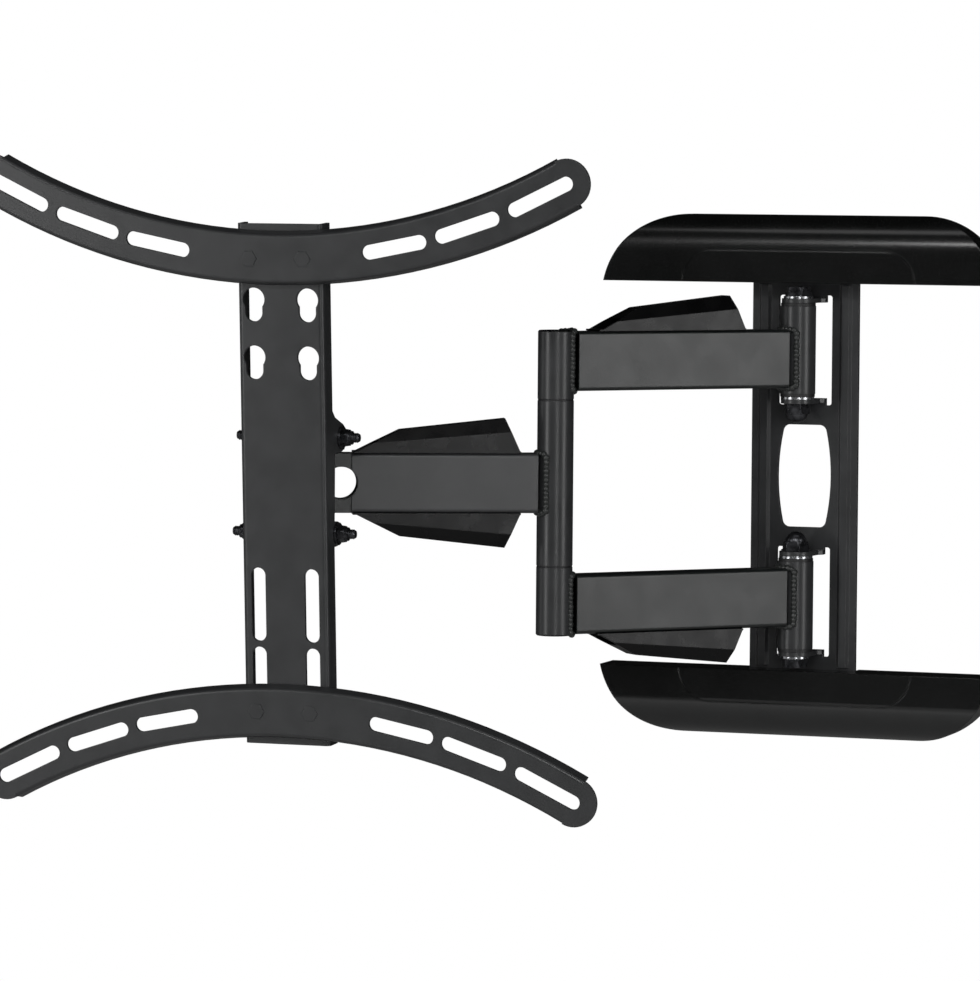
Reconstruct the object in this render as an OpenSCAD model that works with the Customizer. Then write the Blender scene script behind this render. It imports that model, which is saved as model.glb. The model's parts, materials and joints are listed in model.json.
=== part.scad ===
// Full motion screen wall mount: a slotted wall bracket, twin rear arms, one front arm,
// a swivel yoke and a tilting head with two curved screen arms.
// Millimetres, +Z up. The wall is the plane y = 0 and the mount stands out along -Y.
// The origin is the middle of the wall face of the bracket.

/* [Pose] */
// Angle of the rear arms away from the wall plane
rear_angle = 46; // [20:1:70]
// Angle of the front arm away from the wall plane
front_angle = 24; // [10:1:50]
// Forward lean of the screen arms
screen_tilt = 3.5; // [-3:0.5:10]

/* [Wall bracket] */
// Width of the pressed wall plate
plate_w = 75; // [70:1:95]
// Height of the pressed wall plate
plate_h = 342; // [330:1:344]
// Sheet thickness of the wall plate
plate_t = 3; // [2:0.5:4]
// Length of each slotted rail
rail_l = 250; // [230:2:256]
// Height of each slotted rail
rail_h = 36; // [30:1:38]
// Thickness of each slotted rail
rail_t = 5; // [4:0.5:8]
// Height between the middles of the two rails
rail_spacing = 310; // [308:1:314]
// Distance between the two wall slots of a rail
wall_slot_spacing = 160; // [140:2:164]
// End-to-end length of a wall slot
wall_slot_l = 50; // [30:1:54]
// Width of a wall slot
wall_slot_w = 9; // [7:0.5:12]
// Width of the two windows behind the hinges
window_w = 37.5; // [36:0.5:42]
// Height of the middle cable opening
opening_h = 70; // [50:1:72]
// Height of the raised beads
bead_t = 2.4; // [1:0.2:3]
// Width of the raised beads
bead_w = 8.5; // [6:0.5:9]

/* [Hinges] */
// Distance of the hinge axis from the wall
hinge_off = 26.5; // [25:0.5:36]
// Outside diameter of every hinge and elbow sleeve
sleeve_d = 24.2; // [23:0.2:30]
// Wall of every hinge and elbow sleeve
sleeve_wall = 3; // [2.5:0.1:4]
// Length of a wall hinge sleeve
hinge_sleeve_l = 59.5; // [50:0.5:62]
// How far a hinge sleeve reaches past the inner edge of its arm
sleeve_lap = 4.2; // [3:0.1:6]
// Thickness of a hinge tab
tab_t = 3; // [2.5:0.5:4]
// Diameter of the wall hinge bolts
hinge_bolt_d = 10; // [8:1:12]
// Flange thickness of the hinge bushes
bush_flange_t = 2; // [1:0.1:3]
// Thickness of the steel thrust washers
thrust_t = 1.6; // [1:0.1:2]

/* [Arms] */
// Pivot distance of the rear arms
rear_l = 185; // [170:1:230]
// Pivot distance of the front arm
front_l = 165; // [150:1:210]
// Height of the rectangular arm tube
arm_h = 39.6; // [36:0.2:42]
// Thickness of the rectangular arm tube
arm_w = 20; // [16:0.5:20]
// Wall of the rectangular arm tube
arm_wall = 2; // [1.5:0.1:3]
// Outer corner radius of the rectangular arm tube
arm_r = 2.6; // [1:0.1:4]
// Height of the middle of each rear arm above and below the mount's centre
arm_z = 81; // [78:0.5:84]
// Half height of the middle elbow sleeve
elbow_mid = 54.8; // [40:0.2:56]
// Diameter of the elbow pin
elbow_pin_d = 14; // [12:0.5:15]
// Diameter of the round cable hole near the head
cable_hole_d = 21.5; // [16:0.5:24]
// Distance of the cable hole from the swivel axis
cable_hole_x = 22.3; // [20:0.1:26]
// Length of the end fork that holds the swivel
fork_l = 29; // [26:0.5:34]

/* [Cable covers] */
// Base length of a cable cover
cover_l = 111.5; // [90:0.5:114]
// Distance from the elbow axis to the base of a rear cable cover
cover_gap = 27.5; // [20:0.5:30]
// Distance from the elbow axis to the base of a front cable cover
front_cover_gap = 23.5; // [20:0.5:30]
// Height of a cable cover at its tall end
cover_high = 23.2; // [16:0.5:24]
// Height of a cable cover at its low end
cover_low = 15.5; // [10:0.5:16]
// Wall of a cable cover
cover_wall = 1.6; // [1.2:0.1:2]

/* [Wall covers] */
// Length of a wall cover
shell_l = 277; // [272:1:320]
// Height of a wall cover
shell_h = 46; // [44:2:56]
// Distance of the straight inner edge from the mount's centre
shell_z = 132; // [131:0.5:136]
// Depth of a wall cover in front of the wall
shell_d = 29.5; // [26:0.5:34]
// Wall of a wall cover
shell_wall = 2.4; // [1.8:0.1:3]

/* [Head] */
// Width of the head channel
stem_w = 59.7; // [58:0.1:66]
// Height of the head channel
stem_h = 343.6; // [320:1:380]
// Sheet thickness of the head channel
stem_t = 2.5; // [2:0.1:3]
// Depth of the head channel's side flanges
stem_d = 14.3; // [12:0.1:16]
// Half distance between the left and the right slots
key_x = 18.75; // [16:0.25:20]
// Height of the head's centre above the tilt pivot
head_rise = 33.4; // [30:0.1:40]
// Distance of the tilt pivot behind the front face of the head channel
pivot_back = 19; // [18:0.1:22]
// Distance of the tilt pivot in front of the swivel axis
pivot_front = 22.2; // [20:0.1:26]
// Height of the tilt pivot below the mount's centre
pivot_drop = 32; // [31:0.1:34]
// Distance of the tilt lock bolt behind the front face of the head channel
lock_back = 29; // [26:0.1:30]
// Height of the tilt lock bolt above the tilt pivot
lock_rise = 62.6; // [60:0.1:66]
// Tilt travel that the lock slots allow, forward
tilt_down = 10; // [5:1:10]
// Tilt travel that the lock slots allow, backward
tilt_up = 5; // [0:1:5]

/* [Screen arms] */
// Radius of the middle line of a curved screen arm
curve_r = 420.6; // [380:1:600]
// Distance of a screen arm's middle line from the head's centre
curve_z = 149.4; // [145:0.1:152]
// Face width of a curved screen arm
face_w = 32.5; // [30:0.5:36]
// Depth of a curved screen arm
curve_d = 7.9; // [6:0.1:10]
// Sheet thickness of a curved screen arm
curve_t = 2.2; // [1.5:0.1:2.5]
// Width of the screen slots
screen_slot_w = 9.5; // [7:0.1:10]
// Sideways position of the outer end of the outermost screen slot
reach_x = 200; // [190:1:220]
// Sideways step from one screen slot to the next
slot_step = 50; // [48:1:56]
// Travel of a bolt along a screen slot
slot_travel = 35; // [20:1:36]

/* [Hidden] */
$fn = 64;

eps = 0.01;
over = 1;              // how far a cutter runs past the face that it cuts
run = 0.05;            // radial running clearance of a bush on its pin
slack = 0.1;           // axial running clearance between parts that turn
fit = 0.2;             // clearance of a bolt in a plain hole

powder = "#3b3b3d";
powder_dark = "#303332";
gloss = "#191a1a";
satin = "#141414";
zinc = "#8d8f92";
black_zinc = "#26272a";
nylon = "#1c1c1e";

plate_back = rail_t;
plate_front = rail_t + plate_t;
arm_out = arm_z + arm_h / 2;
arm_in = arm_z - arm_h / 2;
bore_d = sleeve_d - 2 * sleeve_wall;

sleeve_in = arm_in - sleeve_lap;
sleeve_out = sleeve_in + hinge_sleeve_l;
tab_in = sleeve_in - bush_flange_t - thrust_t - slack - tab_t;
tab_out = sleeve_out + bush_flange_t + slack;
relief = 1.8;          // notch beside a hinge tab
window_in = tab_in - relief;
window_out = tab_out + tab_t + relief;
tab_half = 14.8;
tab_shoulder = 9;      // how far the full-width part of a hinge tab stands out
tab_chamfer = 2.5;
tab_nose_r = sleeve_d / 2 - 0.8;

elbow = [-rear_l * cos(rear_angle), -hinge_off - rear_l * sin(rear_angle)];
swivel = elbow - front_l * [cos(front_angle), sin(front_angle)];

function hex_d(across_flats) = across_flats / cos(30);

// ---- shared shapes ----

module rounded_rect(w, h, r) {
    square([w - 2 * r, h], center = true);
    square([w, h - 2 * r], center = true);
    for (sx = [-1, 1], sy = [-1, 1])
        translate([sx * (w / 2 - r), sy * (h / 2 - r)]) circle(r);
}

module slot_2d(l, w) {
    square([l - w, w], center = true);
    for (s = [-1, 1]) translate([s * (l - w) / 2, 0]) circle(d = w);
}

// A bar outline on y = 0 whose two upper corners are round. A radius over the height starts at a slant.
module round_top_2d(w, h, r) {
    reach = r > h ? sqrt(r * r - (r - h) * (r - h)) : r;
    if (h > r) translate([-w / 2, 0]) square([w, h - r]);
    translate([reach - w / 2, 0]) square([w - 2 * reach, h]);
    intersection() {
        for (s = [-1, 1]) translate([s * (w / 2 - reach), h - r]) circle(r, $fn = 128);
        translate([-w / 2, 0]) square([w, h]);
    }
}

// A sheet standing in the XZ plane whose front is at y = -front.
module sheet(front, t) {
    translate([0, -front + t, 0]) rotate([90, 0, 0]) linear_extrude(t) children();
}

module tube(od, id, h) {
    difference() {
        cylinder(d = od, h = h);
        translate([0, 0, -over]) cylinder(d = id, h = h + 2 * over);
    }
}

module ring(od, id, h, z) {
    translate([0, 0, z]) tube(od, id, h);
}

// A hexagon whose corners are bevelled at its far end.
module bevelled_hex(across_flats, h) {
    intersection() {
        cylinder(d = hex_d(across_flats), h = h, $fn = 6);
        cylinder(d1 = hex_d(across_flats) * nut_bevel, d2 = across_flats * nut_bevel, h = h);
    }
}

module hex_nut(across_flats, h, bore) {
    difference() {
        bevelled_hex(across_flats, h);
        translate([0, 0, -over]) cylinder(d = bore, h = h + 2 * over);
    }
}

module mirror_copy(v) {
    children();
    mirror(v) children();
}

module at_hinge() {
    translate([0, -hinge_off, 0]) children();
}

// Along a rear arm: +X runs from the hinge to the elbow.
module in_rear() {
    at_hinge() rotate(180 + rear_angle) children();
}

module at_elbow() {
    translate([elbow.x, elbow.y, 0]) children();
}

// Along the front arm: +X runs from the elbow to the swivel.
module in_front() {
    at_elbow() rotate(180 + front_angle) children();
}

module at_swivel() {
    translate([swivel.x, swivel.y, 0]) children();
}

// The head before it leans: y = 0 is the swivel axis and z = 0 the head's centre.
module in_head() {
    at_swivel() translate([0, -pivot_front, -pivot_drop]) rotate([screen_tilt, 0, 0])
        translate([0, pivot_front, head_rise]) children();
}

// ---- wall bracket ----

bead_x = plate_w / 2 - 9;
bead_l = 2 * (shell_z - 1.5);
bead_top = 5;          // flat width on top of a bead
opening_corner = 5;
opening_side_r = 150;  // radius of the opening's bowed sides
rivet_d = 5;
rivet_head_d = 9;
rivet_top_d = 6;
rivet_head_h = 2;
rivet_x = 24;
rivet_z = 11;

module bead_profile(grow) {
    polygon([[-bead_w / 2 + grow, 0], [-bead_top / 2 + grow / 2, bead_t],
        [bead_top / 2 - grow / 2, bead_t], [bead_w / 2 - grow, 0],
        [bead_w / 2 - grow, -eps], [-bead_w / 2 + grow, -eps]]);
}

module bead_bar(l, grow, front) {
    translate([bead_x, -front, -l / 2]) linear_extrude(l) rotate(180) bead_profile(grow);
}

// Bowed sides that run smoothly into round corners.
module cable_opening_2d() {
    bow = opening_side_r - window_w / 2;
    arm = opening_side_r - opening_corner;
    z = opening_h / 2 - opening_corner;
    x = sqrt(arm * arm - z * z) - bow;
    join = z * opening_side_r / arm;
    intersection() {
        translate([bow, 0]) circle(opening_side_r, $fn = 360);
        translate([-bow, 0]) circle(opening_side_r, $fn = 360);
        square([window_w, 2 * join], center = true);
    }
    square([2 * x, opening_h], center = true);
    for (sx = [-1, 1], sz = [-1, 1]) translate([sx * x, sz * z]) circle(opening_corner);
}

module window_2d() {
    difference() {
        translate([0, (window_in + window_out) / 2])
            rounded_rect(window_w, window_out - window_in, relief);
        translate([-tab_half, window_in - over]) square([2 * tab_half, tab_in + tab_t - window_in + over]);
        translate([-tab_half, tab_out]) square([2 * tab_half, window_out - tab_out + over]);
    }
}

module plate_2d() {
    difference() {
        rounded_rect(plate_w, plate_h, 3);
        cable_opening_2d();
        mirror_copy([0, 1]) window_2d();
        for (x = [-rivet_x, rivet_x], z = [-rivet_z, rivet_z], s = [-1, 1])
            translate([x, s * rail_spacing / 2 + z]) circle(d = rivet_d);
    }
}

module tab_2d() {
    depth = hinge_off - plate_back;
    difference() {
        union() {
            translate([0, -depth]) circle(tab_nose_r);
            polygon([[-tab_half, 0], [-tab_half, tab_chamfer - tab_shoulder],
                [-tab_half + tab_chamfer, -tab_shoulder], [-tab_nose_r, -depth], [tab_nose_r, -depth],
                [tab_half - tab_chamfer, -tab_shoulder], [tab_half, tab_chamfer - tab_shoulder],
                [tab_half, 0]]);
        }
        translate([0, -depth]) circle(d = hinge_bolt_d + fit);
    }
}

module hinge_tabs() {
    for (z = [tab_in, tab_out])
        translate([0, -plate_back, z]) linear_extrude(tab_t) tab_2d();
}

module wall_plate() {
    color(powder) difference() {
        union() {
            sheet(plate_front, plate_t) plate_2d();
            mirror_copy([1, 0, 0]) bead_bar(bead_l, 0, plate_front);
            mirror_copy([0, 0, 1]) hinge_tabs();
        }
        mirror_copy([1, 0, 0]) bead_bar(bead_l - groove_short, groove_inset, plate_back);
    }
}

rail_corner = 42;
groove_inset = 1.2;    // a bead's hollow back is this much narrower on each side
groove_short = 8;      // and this much shorter

module rail() {
    color(powder_dark) translate([0, 0, rail_spacing / 2]) sheet(rail_t, rail_t) difference() {
        translate([0, -rail_h / 2]) round_top_2d(rail_l, rail_h, rail_corner);
        for (s = [-1, 1]) translate([s * wall_slot_spacing / 2, 0]) slot_2d(wall_slot_l, wall_slot_w);
        for (x = [-rivet_x, rivet_x], y = [-rivet_z, rivet_z]) translate([x, y]) circle(d = rivet_d);
    }
}

module upper_rail() {
    rail();
}

module lower_rail() {
    mirror([0, 0, 1]) rail();
}

module rivet() {
    rotate([90, 0, 0]) {
        cylinder(d = rivet_d, h = plate_front);
        translate([0, 0, plate_front]) cylinder(d1 = rivet_head_d, d2 = rivet_top_d, h = rivet_head_h);
    }
}

module rail_rivets() {
    color(powder) for (x = [-rivet_x, rivet_x], z = [-rivet_z, rivet_z], s = [-1, 1])
        translate([x, 0, s * rail_spacing / 2 + z]) rivet();
}

// ---- wall covers ----

shell_corner = 57.6;   // arc of a wall cover's outer corners, more than its height
shell_crest = 21;      // height at which the flat front ends
crest_r = 26;          // radius of the front above the flat
panel_t = 1.2;         // depth of the recessed panel
panel_l = 164;
panel_h = 23;
rib_t = 2;
rib_h = 18;
rib_gap = 6;           // distance of a rib from the wall plate's edge
cover_slot_gap = 0.5;  // clearance of a wall cover round the wall plate

// Depth over height: flat at the inner edge, then round to the rim.
module shell_side_2d(inset) {
    d = shell_d - inset;
    h = shell_h - inset;
    r = crest_r - inset;
    intersection() {
        translate([-over, inset]) square([d + over, h - inset]);
        union() {
            translate([-over, 0]) square([d + over, shell_crest]);
            translate([-over, 0]) square([d - r + over, h]);
            translate([d - r, shell_crest]) circle(r, $fn = 128);
        }
    }
}

module shell_solid(inset) {
    h = shell_h - inset;
    intersection() {
        translate([0, over, 0]) rotate([90, 0, 0]) linear_extrude(shell_d + 2 * over)
            round_top_2d(shell_l - 2 * inset, h, shell_corner - inset);
        translate([-shell_l / 2, 0, 0]) rotate([90, 0, -90]) mirror([0, 0, 1])
            linear_extrude(shell_l) shell_side_2d(inset);
    }
}

module wall_cover() {
    rib_x = plate_w / 2 + rib_gap;
    slot_w = plate_w + 2 * cover_slot_gap;
    slot_d = plate_front + bead_t + cover_slot_gap;
    translate([0, 0, shell_z]) {
        difference() {
            shell_solid(0);
            shell_solid(shell_wall);
            translate([-shell_l, 0, -over]) cube([2 * shell_l, 2 * over, shell_h + 2 * over]);
            translate([0, -shell_d + panel_t, -over]) sheet(over, over)
                round_top_2d(panel_l, panel_h + over, panel_h);
            // the wall plate passes through here
            translate([-slot_w / 2, -slot_d, -over]) cube([slot_w, slot_d + over, shell_wall + 2 * over]);
        }
        for (s = [-1, 1]) translate([s * rib_x - rib_t / 2, shell_wall / 2 - shell_d, shell_wall / 2])
            cube([rib_t, shell_d - shell_wall / 2 - rail_t - slack, rib_h]);
    }
}

module upper_wall_cover() {
    color(gloss) wall_cover();
}

module lower_wall_cover() {
    color(gloss) mirror([0, 0, 1]) wall_cover();
}

// ---- wall hinges ----

washer_d = 20;
washer_t = 1.6;
bolt_head_af = 16;
bolt_head_h = 6.2;
dome_af = 16;
dome_h = 13.5;
dome_hex_h = 7;        // height of the hexagon below the dome
dome_thread_h = 9.4;   // depth of the blind thread
dome_step = 0.6;       // how far the dome stands in from the flats
thrust_step = 1.4;     // how much smaller a thrust washer is than its sleeve
nut_bevel = 1.06;      // cone over hexagon, for the bevelled corners of a nut

module hinge_bolt() {
    color(black_zinc) at_hinge() {
        translate([0, 0, tab_in - dome_thread_h])
            cylinder(d = hinge_bolt_d, h = tab_out + tab_t + washer_t - tab_in + dome_thread_h);
        translate([0, 0, tab_out + tab_t + washer_t]) bevelled_hex(bolt_head_af, bolt_head_h);
    }
}

module upper_hinge_bolt() {
    hinge_bolt();
}

module lower_hinge_bolt() {
    mirror([0, 0, 1]) hinge_bolt();
}

module dome_nut() {
    dome_r = dome_af / 2 - dome_step;
    difference() {
        union() {
            bevelled_hex(dome_af, dome_hex_h);
            intersection() {
                translate([0, 0, dome_h - dome_r]) sphere(dome_r);
                cylinder(r = dome_r, h = dome_h + over);
            }
        }
        translate([0, 0, -over]) cylinder(d = hinge_bolt_d, h = dome_thread_h + over);
    }
}

module hinge_dome_nuts() {
    color(black_zinc) mirror_copy([0, 0, 1]) at_hinge() translate([0, 0, tab_in])
        mirror([0, 0, 1]) dome_nut();
}

module hinge_washers() {
    bore = hinge_bolt_d + fit;
    color(zinc) mirror_copy([0, 0, 1]) at_hinge() {
        ring(washer_d, bore, washer_t, tab_out + tab_t);
        ring(sleeve_d - thrust_step, bore, thrust_t, tab_in + tab_t);
    }
}

// ---- rear arms ----

module arm_tube(from, to) {
    translate([from, 0, 0]) rotate([90, 0, 90]) linear_extrude(to - from) difference() {
        rounded_rect(arm_w, arm_h, arm_r);
        rounded_rect(arm_w - 2 * arm_wall, arm_h - 2 * arm_wall, arm_r - arm_wall / 2);
    }
}

// The tube is cut square and butts against the sleeves.
module rear_arm() {
    color(powder_dark) in_rear() translate([0, 0, arm_z])
        arm_tube(sleeve_d / 2, rear_l - sleeve_d / 2);
}

module upper_rear_arm() {
    rear_arm();
}

module lower_rear_arm() {
    mirror([0, 0, 1]) rear_arm();
}

module hinge_sleeve() {
    color(powder) at_hinge() ring(sleeve_d, bore_d, hinge_sleeve_l, sleeve_in);
}

module upper_hinge_sleeve() {
    hinge_sleeve();
}

module lower_hinge_sleeve() {
    mirror([0, 0, 1]) hinge_sleeve();
}

bush_step = 0.6;       // how much smaller a bush's flange is than its sleeve
hinge_bush_l = 14;
elbow_bush_l = 16;

// A flanged bush that seats at z = 0 and reaches up into a sleeve.
module bush(pin_d, flange_t, depth) {
    difference() {
        union() {
            translate([0, 0, -flange_t]) cylinder(d = sleeve_d - bush_step, h = flange_t);
            cylinder(d = bore_d, h = depth);
        }
        translate([0, 0, -flange_t - over]) cylinder(d = pin_d + 2 * run, h = flange_t + depth + 2 * over);
    }
}

module hinge_bushes() {
    color(nylon) mirror_copy([0, 0, 1]) at_hinge() {
        translate([0, 0, sleeve_in]) bush(hinge_bolt_d, bush_flange_t, hinge_bush_l);
        translate([0, 0, sleeve_out]) mirror([0, 0, 1]) bush(hinge_bolt_d, bush_flange_t, hinge_bush_l);
    }
}

// ---- elbow ----

elbow_flange = 1.1;
elbow_in = elbow_mid + elbow_flange + slack;
cap_t = 3;
cap_top = 1;           // thickness of a cap's top
cap_wall = 2;
cap_rim = 0.8;
collar_l = 30;
clip_t = 1.5;

module elbow_sleeve() {
    color(powder) at_elbow() {
        ring(sleeve_d, bore_d, arm_out - elbow_in, elbow_in);
        ring(bore_d, elbow_pin_d, collar_l, elbow_in);
    }
}

module upper_elbow_sleeve() {
    elbow_sleeve();
}

module lower_elbow_sleeve() {
    mirror([0, 0, 1]) elbow_sleeve();
}

module elbow_pin() {
    reach = elbow_in + collar_l + 2 * clip_t;
    color(zinc) at_elbow() {
        translate([0, 0, -reach]) cylinder(d = elbow_pin_d, h = 2 * reach);
        mirror_copy([0, 0, 1]) translate([0, 0, elbow_in + collar_l]) cylinder(d = bore_d - 1, h = clip_t);
    }
}

module elbow_caps() {
    color(satin) mirror_copy([0, 0, 1]) at_elbow() difference() {
        union() {
            translate([0, 0, arm_out]) cylinder(d1 = sleeve_d, d2 = sleeve_d - 2 * cap_rim, h = cap_rim);
            translate([0, 0, arm_out - cap_t]) cylinder(d = bore_d, h = cap_t);
        }
        translate([0, 0, arm_out - cap_t - over])
            cylinder(d = bore_d - 2 * cap_wall, h = cap_t + over - cap_top);
    }
}

// ---- cable covers ----

// Side outline of a cable cover, x from its tall end, with named corners.
tall_x = 10.5;         // where the tall end's slope reaches the top
low_x = 31;            // where the low end's slope leaves the top
crease_tall = 14.7;    // height of the crease at the tall end
crease_low = 5.3;      // height of the crease at the low end
lean = 24;             // how far the upper side faces lean in, in degrees
floor_t = 1.2;

module cover_outline(inset) {
    polygon([[-inset * 3, 0], [tall_x, cover_high - inset], [cover_l - low_x, cover_low - inset],
        [cover_l + inset * 3, 0]]);
}

module cover_solid(inset) {
    w = arm_w - 2 * inset;
    slope = atan2(crease_tall - crease_low, cover_l);
    big = 2 * cover_l;
    difference() {
        translate([0, w / 2, 0]) rotate([90, 0, 0]) linear_extrude(w) cover_outline(inset);
        for (s = [-1, 1])
            translate([0, s * w / 2, crease_tall]) rotate([0, slope, 0]) rotate([s * lean, 0, 0])
                translate([-big / 4, s > 0 ? 0 : -arm_w, 0]) cube([big, arm_w, 3 * cover_high]);
    }
}

// A tunnel on a thin floor, open at both ends, whose tall end faces +X = 0.
module cable_cover() {
    difference() {
        union() {
            cover_solid(0);
            translate([0, -arm_w / 2, 0]) cube([cover_l, arm_w, floor_t]);
        }
        difference() {
            cover_solid(cover_wall);
            translate([-cover_l, -arm_w, -over]) cube([3 * cover_l, 2 * arm_w, floor_t + over]);
        }
    }
}

module rear_cable_cover() {
    color(satin) in_rear() translate([rear_l - cover_gap - cover_l, 0, arm_out]) cable_cover();
}

module upper_rear_cable_cover() {
    rear_cable_cover();
}

module lower_rear_cable_cover() {
    mirror([0, 0, 1]) rear_cable_cover();
}

module front_cable_cover() {
    color(satin) in_front() translate([front_cover_gap, 0, arm_h / 2]) cable_cover();
}

module upper_front_cable_cover() {
    front_cable_cover();
}

module lower_front_cable_cover() {
    mirror([0, 0, 1]) front_cable_cover();
}

// ---- front arm ----

fork_side = 2.5;       // side wall of the fork
fork_end = 3;          // top and bottom wall of the fork
fork_w = 18;           // thickness of the fork, a little less than the tube's
swivel_bolt_d = 10;
tongue_l = 12;         // how far the fork's tongue reaches into the tube

module cable_hole() {
    translate([front_l - cable_hole_x, arm_w, 0]) rotate([90, 0, 0])
        cylinder(d = cable_hole_d, h = 2 * arm_w);
}

module front_arm() {
    color(powder) in_front() difference() {
        arm_tube(sleeve_d / 2, front_l - fork_l);
        cable_hole();
    }
}

module middle_elbow_sleeve() {
    color(powder) at_elbow() ring(sleeve_d, bore_d, 2 * elbow_mid, -elbow_mid);
}

module elbow_bushes() {
    color(nylon) mirror_copy([0, 0, 1]) at_elbow()
        translate([0, 0, elbow_mid]) mirror([0, 0, 1]) bush(elbow_pin_d, elbow_flange, elbow_bush_l);
}

module fork_2d() {
    translate([front_l, 0]) circle(d = fork_w);
    translate([front_l - fork_l, -fork_w / 2]) square([fork_l, fork_w]);
}

// A box section that closes round the swivel bolt, with a tongue into the arm tube.
module arm_end_fork() {
    tongue_h = arm_h - 2 * arm_wall - fit;
    tongue_w = arm_w - 2 * arm_wall - fit;
    inner_w = fork_w - 2 * fork_side;
    start = front_l - fork_l - tongue_l;
    color(powder_dark) in_front() difference() {
        union() {
            translate([0, 0, -arm_h / 2]) linear_extrude(arm_h) fork_2d();
            translate([start, 0, 0]) rotate([90, 0, 90]) linear_extrude(tongue_l + over)
                rounded_rect(tongue_w, tongue_h, arm_r - arm_wall / 2);
        }
        translate([0, 0, fork_end - arm_h / 2]) linear_extrude(arm_h - 2 * fork_end) {
            translate([front_l, 0]) circle(d = inner_w);
            translate([start - over, -inner_w / 2]) square([fork_l + tongue_l + over, inner_w]);
        }
        cable_hole();
        translate([front_l, 0, -arm_h]) cylinder(d = swivel_bolt_d + 2 * run, h = 2 * arm_h);
    }
}

module swivel_spacer() {
    h = arm_h - 2 * fork_end;
    color(zinc) at_swivel() ring(fork_w - 2 * fork_side - fit, swivel_bolt_d + 2 * run, h, -h / 2);
}

// ---- swivel yoke ----

disc_t = 1.2;
yoke_t = 3;
yoke_r = 13;
yoke_half = 17;
yoke_web = 26;         // distance of the yoke's web in front of the swivel axis
yoke_in = arm_h / 2 + disc_t + slack;
yoke_out = yoke_in + yoke_t;
cheek_t = 2.5;
tilt_disc_t = 0.6;
cheek_out = stem_w / 2 - stem_t - tilt_disc_t - run;
cheek_in = cheek_out - cheek_t;
cheek_front = yoke_web + yoke_t + cheek_t;
lock_r = norm([lock_back - pivot_back, lock_rise]);
lock_angle = atan2(lock_back - pivot_back, lock_rise);
lobe_r = 8;            // radius of a cheek round the tilt pivot
cheek_margin = 6;      // sheet left behind the lock slot
cheek_lug = 8.2;       // how far the lug reaches below the lock bolt
cheek_waist = 4;       // a cheek is cut back to here behind the arm's end
cheek_top = lock_rise + 7;
tilt_bolt_d = 6;
swivel_head_af = 16;
swivel_head_h = 6.2;
swivel_nut_h = 9;
swivel_tip = 2;        // thread that stands out of the swivel nut
collar_h = 2.5;        // locking collar of the swivel nut
collar_step = 1.5;     // how much smaller the collar is than the nut's flats
disc_step = 2;         // how much smaller a disc is than the yoke's round end

module yoke_flange_2d() {
    difference() {
        union() {
            circle(yoke_r);
            polygon([[-yoke_r, 0], [-yoke_half, -yoke_r], [-yoke_half, -yoke_web - yoke_t],
                [yoke_half, -yoke_web - yoke_t], [yoke_half, -yoke_r], [yoke_r, 0]]);
        }
        circle(d = swivel_bolt_d + fit);
    }
}

// A C of plate whose two flanges hold the fork between them.
module swivel_yoke() {
    color(powder) at_swivel() {
        mirror_copy([0, 0, 1]) translate([0, 0, yoke_in]) linear_extrude(yoke_t) yoke_flange_2d();
        translate([-yoke_half, -yoke_web - yoke_t, -yoke_out])
            cube([2 * yoke_half, yoke_t, 2 * yoke_out]);
    }
}

// The lock slot, an arc about the tilt pivot at the origin, X forward and Y up.
module lock_slot_2d() {
    w = tilt_bolt_d + 2 * run;
    from = -lock_angle - tilt_up;
    to = tilt_down - lock_angle;
    reach = lock_r + w;
    intersection() {
        difference() {
            circle(lock_r + w / 2, $fn = 180);
            circle(lock_r - w / 2, $fn = 180);
        }
        polygon([[0, 0], reach * [sin(from), cos(from)], reach * [sin(to), cos(to)]]);
    }
    for (a = [from, to]) translate(lock_r * [sin(a), cos(a)]) circle(d = w);
}

// One cheek seen from its side, X forward and Y up, about the tilt pivot.
module cheek_2d() {
    front = cheek_front - pivot_front;
    back = -lock_r * sin(lock_angle + tilt_up) - cheek_margin;
    low = lock_rise - cheek_lug;
    difference() {
        union() {
            circle(lobe_r);
            translate([0, -lobe_r]) square([front, cheek_top + lobe_r]);
            translate([-cheek_waist, 0]) square([front, cheek_top]);
            translate([back, low]) square([front - back, cheek_top - low]);
        }
        circle(d = tilt_bolt_d + 2 * run);
        lock_slot_2d();
    }
}

module tilt_cheeks() {
    color(powder) at_swivel() {
        mirror_copy([1, 0, 0]) translate([cheek_in, -pivot_front, -pivot_drop])
            rotate([90, 0, -90]) mirror([0, 0, 1]) linear_extrude(cheek_t) cheek_2d();
        translate([-cheek_out, -cheek_front, -pivot_drop - lobe_r])
            cube([2 * cheek_out, cheek_t, cheek_top + lobe_r]);
    }
}

module swivel_bolt() {
    tip = yoke_out + washer_t + swivel_nut_h + swivel_tip;
    color(black_zinc) at_swivel() {
        translate([0, 0, -tip]) cylinder(d = swivel_bolt_d, h = tip + yoke_out + washer_t);
        translate([0, 0, yoke_out + washer_t])
            cylinder(d = hex_d(swivel_head_af), h = swivel_head_h, $fn = 6);
    }
}

module swivel_nut() {
    color(black_zinc) at_swivel() translate([0, 0, -yoke_out - washer_t]) mirror([0, 0, 1]) {
        hex_nut(swivel_head_af, swivel_nut_h - collar_h, swivel_bolt_d);
        ring(swivel_head_af - collar_step, swivel_bolt_d, collar_h, swivel_nut_h - collar_h);
    }
}

module swivel_washers() {
    color(zinc) mirror_copy([0, 0, 1]) at_swivel() ring(washer_d, swivel_bolt_d + fit, washer_t, yoke_out);
}

module swivel_discs() {
    color(nylon) mirror_copy([0, 0, 1]) at_swivel()
        ring(2 * yoke_r - disc_step, swivel_bolt_d + fit, disc_t, arm_h / 2 + slack);
}

// ---- head channel ----

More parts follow.
